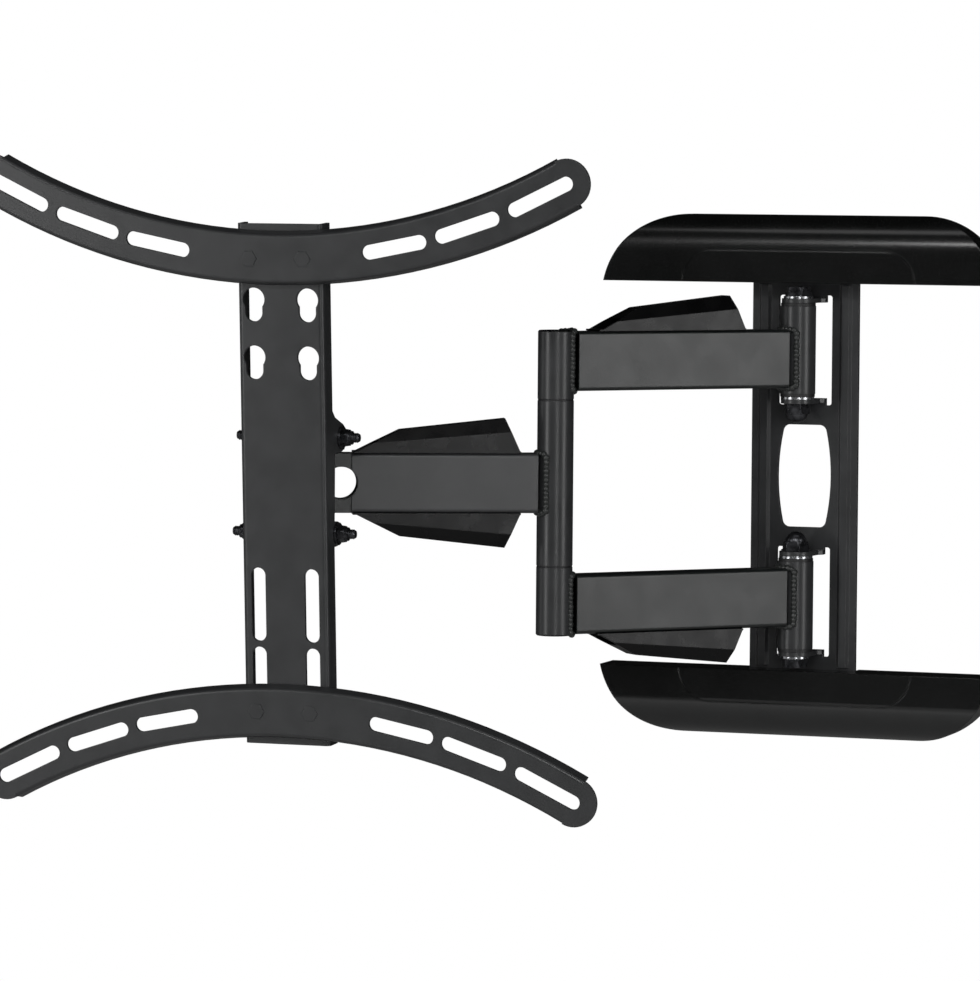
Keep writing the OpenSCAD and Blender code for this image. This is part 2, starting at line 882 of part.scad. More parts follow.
face_y = -pivot_front - pivot_back;
bend_r = 3.2;
ear_r = 9.5;
lower_ear_r = 8.2;
keyhole_z = [113.5, 75.5];
keyhole_rise = 8.6;
keyhole_head_r = 7.6;
keyhole_neck_w = 12;
stem_slot_w = 10;
stem_slots = [[-59.9, -98.6], [-112.4, -157]];

// A channel open at the back: X is its width, Y its depth, the face on Y = 0. Its flanges flare out.
module channel_2d(w, d, t, r, flare) {
    difference() {
        round_front_2d(w, d, r, flare);
        translate([0, t]) round_front_2d(w - 2 * t, d, r - t, flare);
    }
}

module round_front_2d(w, d, r, flare) {
    mid = w / 2 - r;
    side = mid + r * cos(flare);
    low = r - r * sin(flare);
    back = side + (d - low) * tan(flare);
    polygon([[-mid, 0], [mid, 0], [mid, r], [side, low], [back, d], [-back, d], [-side, low], [-mid, r]]);
    for (s = [-1, 1]) translate([s * mid, r]) circle(r);
}

// Both ears of a side flange, X back from the face and Y up from the tilt pivot.
module ears_2d() {
    root = stem_d - stem_t;
    top = lock_rise + ear_r;
    bevel = ear_r / 2;
    translate([pivot_back, 0]) circle(lower_ear_r);
    translate([root, -lower_ear_r]) square([pivot_back - root, 2 * lower_ear_r]);
    translate([lock_back, lock_rise]) circle(ear_r);
    polygon([[root, lock_rise - ear_r], [lock_back, lock_rise - ear_r],
        [lock_back + ear_r * cos(60), lock_rise + ear_r * sin(60)], [stem_d + bevel, top + bevel],
        [stem_d, top + 2 * bevel], [root, top + 2 * bevel]]);
}

module keyhole_2d() {
    circle(d = keyhole_neck_w);
    translate([-keyhole_neck_w / 2, 0]) square([keyhole_neck_w, keyhole_rise]);
    translate([0, keyhole_rise]) circle(keyhole_head_r);
}

module stem_slot_2d(top, bottom) {
    translate([0, (top + bottom) / 2]) rotate(90) slot_2d(top - bottom + stem_slot_w, stem_slot_w);
}

module stem_holes_2d() {
    for (s = [-1, 1]) translate([s * key_x, 0]) {
        for (z = keyhole_z) translate([0, z]) keyhole_2d();
        for (z = stem_slots) stem_slot_2d(z[0], z[1]);
        translate([0, curve_z]) circle(d = stud_d + fit);
    }
}

// From head coordinates to the frame in which Y is the depth behind the face.
module at_face() {
    translate([0, face_y, 0]) children();
}

module tilt_axes() {
    for (p = [[pivot_back, 0], [lock_back, lock_rise]])
        translate([0, face_y + p[0], p[1] - head_rise]) rotate([0, 90, 0]) children();
}

module head_channel() {
    color(powder) in_head() difference() {
        union() {
            at_face() translate([0, 0, -stem_h / 2]) linear_extrude(stem_h)
                channel_2d(stem_w, stem_d, stem_t, bend_r, 0);
            mirror_copy([1, 0, 0]) at_face() translate([stem_w / 2 - stem_t, 0, -head_rise])
                rotate([90, 0, 90]) linear_extrude(stem_t) ears_2d();
        }
        at_face() translate([0, stem_t + over, 0]) rotate([90, 0, 0]) linear_extrude(stem_t + 2 * over)
            stem_holes_2d();
        tilt_axes() translate([0, 0, -stem_w]) cylinder(d = tilt_bolt_d + fit, h = 2 * stem_w);
    }
}

// ---- tilt fasteners ----

tilt_head_h = 3;
tilt_nut_af = 10;
tilt_nut_h = 5;
tilt_collar_h = 1.6;
tilt_tip = 13.2;       // how far a tilt bolt stands out of the head channel
tilt_head_d = 10;
tilt_neck_d = 7;
tilt_point = 1;        // bevel at a tilt bolt's end
tilt_washer_d = 15;

// Every tilt fastener, on both sides, along +Z from the middle of the head.
module each_tilt_bolt() {
    in_head() mirror_copy([1, 0, 0]) tilt_axes() children();
}

module tilt_bolts() {
    from = cheek_in - run;
    to = stem_w / 2 + tilt_tip;
    color(black_zinc) each_tilt_bolt() {
        translate([0, 0, from - tilt_head_h])
            cylinder(d1 = tilt_neck_d, d2 = tilt_head_d, h = tilt_head_h);
        translate([0, 0, from - eps]) cylinder(d = tilt_bolt_d, h = to - from - tilt_point);
        translate([0, 0, to - tilt_point - eps])
            cylinder(d1 = tilt_bolt_d, d2 = tilt_bolt_d - tilt_point, h = tilt_point);
    }
}

module tilt_washers() {
    color(black_zinc) each_tilt_bolt() ring(tilt_washer_d, tilt_bolt_d + fit, washer_t, stem_w / 2);
}

module tilt_nuts() {
    color(black_zinc) each_tilt_bolt() translate([0, 0, stem_w / 2 + washer_t]) {
        hex_nut(tilt_nut_af, tilt_nut_h, tilt_bolt_d);
        ring(tilt_nut_af - 1, tilt_bolt_d, tilt_collar_h, tilt_nut_h);
    }
}

module tilt_discs() {
    color(nylon) each_tilt_bolt() ring(tilt_washer_d, tilt_bolt_d + fit, tilt_disc_t, cheek_out + run);
}

// ---- screen arms ----

stud_d = 8;
stud_head_af = 10;
stud_nut_af = 13;
stud_nut_h = 6.5;
stud_head_h = 0.3;     // low head that stands on an arm's face
stud_tip = 2;          // thread that stands out of a stud's nut
arm_end = asin(reach_x / curve_r);   // half angle of a curved arm
curve_bend_r = 2.6;    // outer bend radius of a curved arm
curve_flare = 16;      // how far a curved arm's flanges lean out, in degrees
stud_shoulder_d = 9.5;
stud_washer_d = 15;

function arc_z(x) = curve_r - sqrt(curve_r * curve_r - x * x);

// A straight slot whose end centres lie on the arm's middle line.
module screen_slot_2d(from, to) {
    a = [from, arc_z(from)];
    b = [to, arc_z(to)];
    translate((a + b) / 2) rotate(atan2(b.y - a.y, b.x - a.x))
        slot_2d(norm(b - a) + screen_slot_w, screen_slot_w);
}

// Both ends of a curved arm: +X runs on past the arm's end.
module at_tips() {
    for (s = [-1, 1]) translate([s * reach_x, 0, arc_z(reach_x)]) rotate([0, -s * arm_end, 0])
        mirror([s > 0 ? 0 : 1, 0, 0]) children();
}

// The curved channel, cut off square to its middle line at both ends.
module curved_channel() {
    spare = 2;         // degrees of arc that the cut takes off
    difference() {
        translate([0, 0, curve_r]) rotate([-90, 0, 0]) rotate([0, 0, 90 - arm_end - spare])
            rotate_extrude(angle = 2 * (arm_end + spare), $fn = 360)
                translate([curve_r, 0]) channel_2d(face_w, curve_d, curve_t, curve_bend_r, curve_flare);
        at_tips() translate([0, -over, -face_w]) cube([2 * face_w, curve_d + 2 * over, 2 * face_w]);
    }
}

// The arm's middle line passes through the origin; its face is on y = 0 and its flanges run to +Y.
module screen_arm() {
    difference() {
        union() {
            curved_channel();
            // half discs carry the flat face on past the ends of the flanges
            at_tips() sheet(0, curve_t) intersection() {
                circle(d = face_w);
                translate([0, -face_w]) square([face_w, 2 * face_w]);
            }
        }
        translate([0, -over, 0]) sheet(0, curve_t + 2 * over) {
            mirror_copy([1, 0]) for (i = [0 : 2])
                screen_slot_2d(reach_x - i * slot_step - slot_travel, reach_x - i * slot_step);
            for (s = [-1, 1]) translate([s * key_x, 0]) circle(d = stud_shoulder_d);
        }
    }
}

module at_upper_arm() {
    in_head() translate([0, face_y - curve_d, curve_z]) children();
}

module at_lower_arm() {
    in_head() translate([0, face_y - curve_d, -curve_z]) mirror([0, 0, 1]) children();
}

module upper_screen_arm() {
    color(powder) at_upper_arm() screen_arm();
}

module lower_screen_arm() {
    color(powder) at_lower_arm() screen_arm();
}

// A pair of studs: low hex head on the face, shoulder down to the head channel, thread through it.
module arm_studs() {
    for (s = [-1, 1]) translate([s * key_x, 0, 0]) rotate([-90, 0, 0]) {
        translate([0, 0, -stud_head_h]) cylinder(d = hex_d(stud_head_af), h = stud_head_h, $fn = 6);
        translate([0, 0, -eps]) cylinder(d = stud_shoulder_d, h = curve_d + eps);
        cylinder(d = stud_d, h = curve_d + stem_t + washer_t + stud_nut_h + stud_tip);
    }
}

module arm_nuts() {
    for (s = [-1, 1]) translate([s * key_x, curve_d + stem_t + run, 0]) rotate([-90, 0, 0]) {
        ring(stud_washer_d, stud_d, washer_t, 0);
        translate([0, 0, washer_t - eps]) hex_nut(stud_nut_af, stud_nut_h, stud_d);
    }
}

module upper_arm_studs() {
    color(powder) at_upper_arm() arm_studs();
}

module upper_arm_nuts() {
    color(black_zinc) at_upper_arm() arm_nuts();
}

module lower_arm_studs() {
    color(powder) at_lower_arm() arm_studs();
}

module lower_arm_nuts() {
    color(black_zinc) at_lower_arm() arm_nuts();
}

wall_plate();
upper_rail();
lower_rail();
rail_rivets();
upper_wall_cover();
lower_wall_cover();
upper_hinge_bolt();
lower_hinge_bolt();
hinge_dome_nuts();
hinge_washers();
upper_rear_arm();
lower_rear_arm();
upper_hinge_sleeve();
lower_hinge_sleeve();
hinge_bushes();
upper_elbow_sleeve();
lower_elbow_sleeve();
elbow_pin();
elbow_caps();
upper_rear_cable_cover();
lower_rear_cable_cover();
front_arm();
middle_elbow_sleeve();
elbow_bushes();
arm_end_fork();
swivel_spacer();
upper_front_cable_cover();
lower_front_cable_cover();
swivel_yoke();
tilt_cheeks();
swivel_bolt();
swivel_nut();
swivel_washers();
swivel_discs();
head_channel();
upper_screen_arm();
upper_arm_studs();
upper_arm_nuts();
tilt_bolts();
tilt_washers();
tilt_nuts();
tilt_discs();
lower_screen_arm();
lower_arm_studs();
lower_arm_nuts();
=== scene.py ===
"""Looks of a full motion screen wall mount: finishes, welds, threads, studio and camera."""

import json
import logging
import math
from dataclasses import dataclass, field
from enum import Enum
from typing import Iterable, Sequence

import bpy
from mathutils import Matrix, Vector

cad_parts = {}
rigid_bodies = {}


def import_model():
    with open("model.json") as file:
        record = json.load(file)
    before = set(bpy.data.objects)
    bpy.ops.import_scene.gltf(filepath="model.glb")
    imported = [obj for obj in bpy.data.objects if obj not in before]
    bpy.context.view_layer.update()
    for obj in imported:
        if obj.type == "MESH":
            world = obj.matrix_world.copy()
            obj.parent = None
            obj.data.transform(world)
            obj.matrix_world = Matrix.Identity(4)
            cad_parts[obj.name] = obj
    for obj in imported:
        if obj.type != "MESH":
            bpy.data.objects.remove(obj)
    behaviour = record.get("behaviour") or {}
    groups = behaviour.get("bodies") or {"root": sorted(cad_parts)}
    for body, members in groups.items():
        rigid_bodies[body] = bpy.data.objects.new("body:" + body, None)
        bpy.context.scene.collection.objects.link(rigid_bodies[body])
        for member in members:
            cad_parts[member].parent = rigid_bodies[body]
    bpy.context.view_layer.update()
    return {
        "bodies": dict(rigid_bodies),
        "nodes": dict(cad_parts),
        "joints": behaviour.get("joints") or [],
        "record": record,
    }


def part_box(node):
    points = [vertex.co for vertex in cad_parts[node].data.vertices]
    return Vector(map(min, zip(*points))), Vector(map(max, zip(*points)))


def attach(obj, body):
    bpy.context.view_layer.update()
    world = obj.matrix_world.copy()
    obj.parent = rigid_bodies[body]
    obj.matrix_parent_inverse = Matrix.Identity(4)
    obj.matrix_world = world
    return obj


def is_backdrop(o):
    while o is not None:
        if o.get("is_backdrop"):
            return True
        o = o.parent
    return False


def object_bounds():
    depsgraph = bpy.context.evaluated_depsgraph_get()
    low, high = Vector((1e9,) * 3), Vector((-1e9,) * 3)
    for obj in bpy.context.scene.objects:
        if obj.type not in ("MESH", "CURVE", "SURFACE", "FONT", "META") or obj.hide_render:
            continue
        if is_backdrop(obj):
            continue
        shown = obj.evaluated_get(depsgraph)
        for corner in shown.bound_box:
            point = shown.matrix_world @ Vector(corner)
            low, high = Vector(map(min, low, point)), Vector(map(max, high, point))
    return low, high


LOG = logging.getLogger("wall_mount")
MM = 0.001
Colour = tuple[float, float, float]

NOISE_MIDDLE = (0.3, 0.7)  # most of a noise pattern's values lie between these
BEVEL_SAMPLES = 6
PATCH_DETAIL = 4.0  # octaves of the patches
FINE_DETAIL = 3.0  # octaves of the fine relief
SWELL_DETAIL = 1.0
BEAD_SIZES = (0.86, 1.12)  # smallest and largest weld bead, over the named size
EQUAL_SIZES = (1.0, 1.0)
SIZE_SEED = 7
THREAD_SIDES = 20
CREST_SIDES = 4
BEAD_SEGMENTS = 10
BEAD_RINGS = 7
CORNER_STEPS = 4  # straight runs in a rounded corner of a seam


class Slot(Enum):
    """Material slots of the record."""

    POWDER = "powder_coated_steel"
    DARK_POWDER = "dark_powder_coated_steel"
    GLOSS = "gloss_plastic"
    SATIN = "satin_plastic"
    BLACK_ZINC = "black_zinc_steel"
    BRIGHT_ZINC = "bright_zinc_steel"
    NYLON = "bearing_nylon"


class Body(Enum):
    """Moving bodies that carry added pieces."""

    REAR = "rear_arms"
    FRONT = "front_arm_link"
    TILT = "tilt_head"


# ---- node helpers ----


class Sheet:
    """A node tree under construction."""

    def __init__(self, tree: bpy.types.NodeTree) -> None:
        """Start from an empty tree.

        Args:
            tree: the tree to fill.
        """
        self.tree = tree
        tree.nodes.clear()

    def add(self, kind: str, **inputs: object) -> bpy.types.Node:
        """Add a node and set its sockets.

        Args:
            kind: Blender's node type.
            inputs: socket values or linked sockets, where an underscore stands for a space, and the
                node's own settings in lower case.

        Returns:
            The new node.
        """
        node = self.tree.nodes.new(kind)
        for key, value in inputs.items():
            if key.islower():
                setattr(node, key, value)
            else:
                self.put(node.inputs[key.replace("_", " ")], value)
        return node

    def put(self, socket: bpy.types.NodeSocket, value: object) -> None:
        """Set a socket's value, or link to it.

        Args:
            socket: the input.
            value: a number, a colour or another node's output.
        """
        if isinstance(value, bpy.types.NodeSocket):
            self.tree.links.new(value, socket)
        elif socket.type == "RGBA" and len(value) == 3:
            socket.default_value = (*value, 1.0)
        else:
            socket.default_value = value

    def noise(
        self, place: bpy.types.NodeSocket, grain: float, detail: float
    ) -> bpy.types.NodeSocket:
        """Return a noise pattern.

        Args:
            place: the coordinates.
            grain: size of a patch, in metres.
            detail: octaves of finer noise.

        Returns:
            The factor output.
        """
        node = self.add("ShaderNodeTexNoise", Vector=place, Scale=1.0 / grain, Detail=detail)
        return node.outputs[0]

    def spread(
        self, value: bpy.types.NodeSocket, low: float, high: float
    ) -> bpy.types.NodeSocket:
        """Map the middle of a noise pattern onto a range.

        Args:
            value: the pattern.
            low: result for the dark patches.
            high: result for the light patches.

        Returns:
            The mapped output.
        """
        node = self.add("ShaderNodeMapRange", Value=value)
        keys = ("From Min", "From Max", "To Min", "To Max")
        for key, number in zip(keys, (*NOISE_MIDDLE, low, high)):
            node.inputs[key].default_value = number
        return node.outputs[0]

    def blend(
        self, factor: bpy.types.NodeSocket, dark: Colour, light: Colour
    ) -> bpy.types.NodeSocket:
        """Mix two colours by a pattern.

        Args:
            factor: the pattern.
            dark: colour at 0.
            light: colour at 1.

        Returns:
            The mixed colour.
        """
        node = self.add("ShaderNodeMix", data_type="RGBA")
        self.put(node.inputs[0], factor)
        self.put(node.inputs[6], dark)
        self.put(node.inputs[7], light)
        return node.outputs[2]


# ---- finishes ----


@dataclass(frozen=True)
class Finish:
    """A surface: two near colours, a roughness range and a fine relief."""

    name: str
    dark: Colour
    light: Colour
    rough: tuple[float, float]
    patch: float = 18 * MM
    grain: float = 0.9 * MM
    relief: float = 0.03 * MM
    wave: float = 0.0
    wave_size: float = 60 * MM
    edge: float = 0.7 * MM
    metallic: float = 0.0
    specular: float = 0.5
    coat: float = 0.0
    coat_rough: float = 0.08
    speckled: bool = False

    def make(self) -> bpy.types.Material:
        """Build the finish as a node material.

        Returns:
            The material.
        """
        material = bpy.data.materials.new(self.name)
        material.use_nodes = True
        sheet = Sheet(material.node_tree)
        place = sheet.add("ShaderNodeTexCoord").outputs["Object"]
        patches = sheet.noise(place, self.patch, PATCH_DETAIL)
        fine = sheet.noise(place, self.grain, FINE_DETAIL)
        shader = sheet.add(
            "ShaderNodeBsdfPrincipled",
            Base_Color=sheet.blend(sheet.spread(patches, 0.0, 1.0), self.dark, self.light),
            Roughness=sheet.spread(fine if self.speckled else patches, *self.rough),
            Metallic=self.metallic,
            Specular_IOR_Level=self.specular,
            Coat_Weight=self.coat,
            Coat_Roughness=self.coat_rough,
        )
        normal = sheet.add("ShaderNodeBevel", samples=BEVEL_SAMPLES, Radius=self.edge)
        height = sheet.add("ShaderNodeBump", Strength=1.0, Distance=self.relief, Height=fine,
                           Normal=normal.outputs[0])
        if self.wave:
            swell = sheet.noise(place, self.wave_size, SWELL_DETAIL)
            height = sheet.add("ShaderNodeBump", Strength=1.0, Distance=self.wave, Height=swell,
                               Normal=height.outputs[0])
        sheet.put(shader.inputs["Normal"], height.outputs[0])
        output = sheet.add("ShaderNodeOutputMaterial")
        sheet.put(output.inputs["Surface"], shader.outputs[0])
        material.diffuse_color = (*self.light, 1.0)
        return material


FINISHES: dict[Slot, Finish] = {
    Slot.POWDER: Finish(
        "charcoal powder coat", (0.027, 0.028, 0.029), (0.033, 0.034, 0.0355), (0.30, 0.36),
    ),
    Slot.DARK_POWDER: Finish(
        "dark powder coat", (0.0058, 0.0074, 0.0072), (0.0076, 0.0093, 0.0090), (0.30, 0.34),
    ),
    Slot.GLOSS: Finish(
        "gloss black moulding", (0.0030, 0.0033, 0.0032), (0.0050, 0.0054, 0.0053),
        (0.18, 0.28),
        grain=0.7 * MM, relief=0.003 * MM, wave=0.12 * MM, edge=1.4 * MM, coat=0.35,
        coat_rough=0.12, speckled=True,
    ),
    Slot.SATIN: Finish(
        "satin black moulding", (0.0016, 0.0016, 0.0018), (0.0028, 0.0028, 0.0030),
        (0.24, 0.32),
        grain=0.5 * MM, relief=0.010 * MM, edge=0.6 * MM, specular=0.22,
    ),
    Slot.BLACK_ZINC: Finish(
        "black zinc plate", (0.035, 0.036, 0.040), (0.075, 0.076, 0.082), (0.22, 0.36),
        patch=4 * MM, grain=0.4 * MM, relief=0.01 * MM, edge=0.4 * MM, metallic=0.9,
    ),
    Slot.BRIGHT_ZINC: Finish(
        "bright zinc plate", (0.42, 0.43, 0.45), (0.62, 0.63, 0.65), (0.20, 0.34),
        patch=3 * MM, grain=0.4 * MM, relief=0.01 * MM, edge=0.3 * MM, metallic=1.0,
    ),
    Slot.NYLON: Finish(
        "black nylon", (0.008, 0.008, 0.009), (0.013, 0.013, 0.014), (0.42, 0.55),
        patch=5 * MM, grain=0.5 * MM, relief=0.012 * MM, edge=0.3 * MM,
    ),
}
WELD = Finish(
    "painted weld", (0.018, 0.020, 0.019), (0.027, 0.029, 0.028), (0.28, 0.38),
    patch=3 * MM, grain=0.6 * MM, relief=0.05 * MM, edge=0.2 * MM,
)


@dataclass
class Wardrobe:
    """Makes each finish once and hands it out."""

    made: dict[str, bpy.types.Material] = field(default_factory=dict)

    def get(self, finish: Finish) -> bpy.types.Material:
        """Return the material of a finish.

        Args:
            finish: the finish.

        Returns:
            Its material.
        """
        if finish.name not in self.made:
            self.made[finish.name] = finish.make()
        return self.made[finish.name]

    def dress_frame(self, frame: dict) -> None:
        """Give every CAD node the finish of its record slot.
        """
        for part in frame["record"]["subparts"]:
            slot = Slot(part["material_slot"])
            mesh = frame["nodes"][part["node"]].data
            mesh.materials.clear()
            mesh.materials.append(self.get(FINISHES[slot]))
            LOG.info("%s: %s", part["node"], FINISHES[slot].name)


# ---- repeated pieces ----


class GrowTree:
    """A Geometry Nodes tree that sets one small shape along a path."""

    def __init__(self, name: str, ring: bool) -> None:
        """Build the tree.

        Args:
            name: the tree's name.
            ring: True for thread turns round a bolt, False for weld beads.
        """
        self.tree = bpy.data.node_groups.new(name, "GeometryNodeTree")
        self.socket: dict[str, str] = {}
        face = self.tree.interface
        face.new_socket("Geometry", in_out="INPUT", socket_type="NodeSocketGeometry")
        kinds = {"Spacing": "Float", "Size": "Float", "Round": "Float", "Material": "Material"}
        for label, kind in kinds.items():
            item = face.new_socket(label, in_out="INPUT", socket_type=f"NodeSocket{kind}")
            self.socket[label] = item.identifier
        face.new_socket("Geometry", in_out="OUTPUT", socket_type="NodeSocketGeometry")
        sheet = Sheet(self.tree)
        given = sheet.add("NodeGroupInput").outputs
        curve = sheet.add("GeometryNodeMeshToCurve", Mesh=given["Geometry"]).outputs[0]
        points = sheet.add("GeometryNodeCurveToPoints", mode="LENGTH", Curve=curve,
                           Length=given["Spacing"])
        if ring:
            path = sheet.add("GeometryNodeCurvePrimitiveCircle", Radius=given["Size"],
                             Resolution=THREAD_SIDES)
            profile = sheet.add("GeometryNodeCurvePrimitiveCircle", Radius=given["Round"],
                                Resolution=CREST_SIDES)
            shape = sheet.add("GeometryNodeCurveToMesh", Curve=path.outputs[0],
                              Profile_Curve=profile.outputs[0])
        else:
            shape = sheet.add("GeometryNodeMeshUVSphere", Segments=BEAD_SEGMENTS,
                              Rings=BEAD_RINGS, Radius=given["Size"])
        scale = sheet.add("FunctionNodeRandomValue")
        sizes = [s for s in scale.inputs if s.type == "VALUE" and s.name in ("Min", "Max")]
        for socket, number in zip(sizes, EQUAL_SIZES if ring else BEAD_SIZES):
            socket.default_value = number
        scale.inputs["Seed"].default_value = SIZE_SEED
        dice = next(s for s in scale.outputs if s.type == "VALUE")
        placed = sheet.add("GeometryNodeInstanceOnPoints", Points=points.outputs["Points"],
                           Instance=shape.outputs[0], Rotation=points.outputs["Rotation"],
                           Scale=dice)
        real = sheet.add("GeometryNodeRealizeInstances", Geometry=placed.outputs[0])
        smooth = sheet.add("GeometryNodeSetShadeSmooth", Geometry=real.outputs[0])
        coated = sheet.add("GeometryNodeSetMaterial", Geometry=smooth.outputs[0],
                           Material=given["Material"])
        sheet.add("NodeGroupOutput", Geometry=coated.outputs[0])

    def grow(
        self, name: str, paths: Iterable[Sequence[Vector]], values: dict[str, object]
    ) -> bpy.types.Object:
        """Run the tree along some paths and keep the result as a plain mesh.

        Args:
            name: the new piece's name.
            paths: lists of points, in metres.
            values: the tree's named inputs.

        Returns:
            The finished piece.
        """
        verts: list[Vector] = []
        edges: list[tuple[int, int]] = []
        for path in paths:
            start = len(verts)
            verts.extend(path)
            edges.extend((start + i, start + i + 1) for i in range(len(path) - 1))
        line = bpy.data.meshes.new(f"{name}_path")
        line.from_pydata([tuple(v) for v in verts], edges, [])
        guide = bpy.data.objects.new(f"{name}_guide", line)
        bpy.context.collection.objects.link(guide)
        modifier = guide.modifiers.new("grow", "NODES")
        modifier.node_group = self.tree
        for label, value in values.items():
            modifier[self.socket[label]] = value
        view = bpy.context.evaluated_depsgraph_get()
        mesh = bpy.data.meshes.new_from_object(guide.evaluated_get(view))
        guide.modifiers.remove(modifier)
        bpy.data.objects.remove(guide)
        mesh.name = name
        piece = bpy.data.objects.new(name, mesh)
        bpy.context.collection.objects.link(piece)
        LOG.info("%s: %d faces", name, len(mesh.polygons))
        return piece


# ---- sub-assemblies ----


@dataclass
class Places:
    """Joint axes from the record and places from the frame."""

    frame: dict

    def axis(self, joint: str) -> Vector:
        """Return the point of a joint's axis.

        Args:
            joint: the joint's name.

        Returns:
            The point, in metres.
        """
        for item in self.frame["record"]["behaviour"]["joints"]:
            if item["name"] == joint:
                return Vector(item["pos_m"])
        raise KeyError(joint)

    def middle(self, node: str) -> Vector:
        """Return the middle of a CAD node's box.

        Args:
            node: the node's name.

        Returns:
            The middle, in metres.
        """
        low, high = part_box(node)
        return (low + high) / 2


@dataclass
class TubeSeam:
    """The weld where a rectangular tube meets a round sleeve."""

    half_width: float = 10 * MM
    half_height: float = 19.8 * MM
    corner: float = 2.6 * MM
    sleeve: float = 12.1 * MM
    lift: float = 0.1 * MM
    spacing: float = 2.9 * MM
    bead: float = 2.3 * MM

    def outline(self) -> list[tuple[float, float]]:
        """Return the tube's outline.

        Returns:
            A closed run of points, across and up.
        """
        points = []
        inner = (self.half_width - self.corner, self.half_height - self.corner)
        for turn, (sx, sz) in enumerate(((1, 1), (-1, 1), (-1, -1), (1, -1))):
            for step in range(CORNER_STEPS + 1):
                angle = math.radians(90 * turn + 90 * step / CORNER_STEPS)
                points.append((sx * inner[0] + self.corner * math.cos(angle),
                               sz * inner[1] + self.corner * math.sin(angle)))
        return points + points[:1]

    def path(self, axis: Vector, towards: Vector, height: float) -> list[Vector]:
        """Return the seam's points round one sleeve.

        Args:
            axis: a point of the sleeve's axis.
            towards: a point that the tube runs to.
            height: height of the tube's middle.

        Returns:
            The closed seam.
        """
        along = Vector((towards.x - axis.x, towards.y - axis.y, 0)).normalized()
        across = Vector((-along.y, along.x, 0))
        base = Vector((axis.x, axis.y, height))
        outline = self.outline()
        seam = []
        for (a, b), (c, d) in zip(outline, outline[1:]):
            count = max(1, round(math.hypot(c - a, d - b) / self.spacing))
            for i in range(count):
                w = a + (c - a) * i / count
                z = b + (d - b) * i / count
                out = math.sqrt(max(self.sleeve ** 2 - w * w, 0.0)) + self.lift
                seam.append(base + along * out + across * w + Vector((0, 0, z)))
        return seam + seam[:1]


@dataclass
class Arms:
    """Weld seams of the rear arms and of the front arm."""

    places: Places
    tree: GrowTree
    wardrobe: Wardrobe
    seam: TubeSeam = field(default_factory=TubeSeam)

    def values(self) -> dict[str, object]:
        """Return the seam tree's inputs.

        Returns:
            The values under the inputs' names.
        """
        return {"Spacing": self.seam.spacing, "Size": self.seam.bead,
                "Round": self.seam.bead, "Material": self.wardrobe.get(WELD)}

    def build(self) -> None:
        """Make the seams and let them ride on their arms."""
        hinge = self.places.axis("shoulder_swing")
        elbow = self.places.axis("elbow_fold")
        swivel = self.places.axis("head_swivel")
        heights = [self.places.middle(n).z for n in ("upper_rear_arm", "lower_rear_arm")]
        wall_seams = [self.seam.path(hinge, elbow, z) for z in heights]
        elbow_seams = [self.seam.path(elbow, hinge, z) for z in heights]
        front_seam = [self.seam.path(elbow, swivel, self.places.middle("front_arm").z)]
        for name, paths, body in (("wall_hinge_welds", wall_seams, Body.REAR),
                                  ("elbow_welds", elbow_seams, Body.REAR),
                                  ("front_arm_weld", front_seam, Body.FRONT)):
            piece = self.tree.grow(name, paths, self.values())
            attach(piece, body.value)


@dataclass
class TiltThreads:
    """Thread turns on the free ends of the tilt bolts."""

    tree: GrowTree
    wardrobe: Wardrobe
    frame: dict
    bolt: float = 3.0 * MM
    pitch: float = 1.0 * MM
    crest: float = 0.34 * MM
    bevel: float = 1.4 * MM

    def ends(self) -> list[tuple[Vector, float]]:
        """Find the free end of each bolt.

        Returns:
            Each end and the side of the head that it is on, -1 or 1.
        """
        mesh = self.frame["nodes"]["tilt_bolts"].data
        low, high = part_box("tilt_bolts")
        split = (low.z + high.z) / 2
        centre = (low.x + high.x) / 2
        found = []
        for side in (-1, 1):
            for level in (-1, 1):
                group = [v.co for v in mesh.vertices
                         if (v.co.x - centre) * side > 0 and (v.co.z - split) * level > 0]
                y = (min(v.y for v in group) + max(v.y for v in group)) / 2
                z = (min(v.z for v in group) + max(v.z for v in group)) / 2
                tip = max((v.x - centre) * side for v in group) * side + centre
                found.append((Vector((tip, y, z)), float(side)))
        return found

    def build(self) -> None:
        """Make the turns between each nut and its bolt's end."""
        low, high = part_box("tilt_nuts")
        paths = []
        for tip, side in self.ends():
            nut = (high.x if side > 0 else low.x)
            start = Vector((nut + side * self.pitch, tip.y, tip.z))
            end = Vector((tip.x - side * self.bevel, tip.y, tip.z))
            paths.append([start, end])
        piece = self.tree.grow("tilt_bolt_threads", paths, {
            "Spacing": self.pitch, "Size": self.bolt, "Round": self.crest,
            "Material": self.wardrobe.get(FINISHES[Slot.BLACK_ZINC])})
        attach(piece, Body.TILT.value)


# ---- studio ----


@dataclass(frozen=True)
class Lamp:
    """A soft box: where it stands, its size and its power."""

    name: str
    place: Colour
    size: tuple[float, float]
    power: float

    def build(self, target: Vector) -> None:
        """Make the lamp, aimed at a point.

        Args:
            target: the point that it faces.
        """
        data = bpy.data.lights.new(self.name, "AREA")
        data.shape = "RECTANGLE"
        data.size, data.size_y = self.size
        data.energy = self.power
        lamp = bpy.data.objects.new(self.name, data)
        lamp.location = Vector(self.place)
        lamp.rotation_euler = (target - Vector(self.place)).to_track_quat("-Z", "Y").to_euler()
        bpy.context.collection.objects.link(lamp)


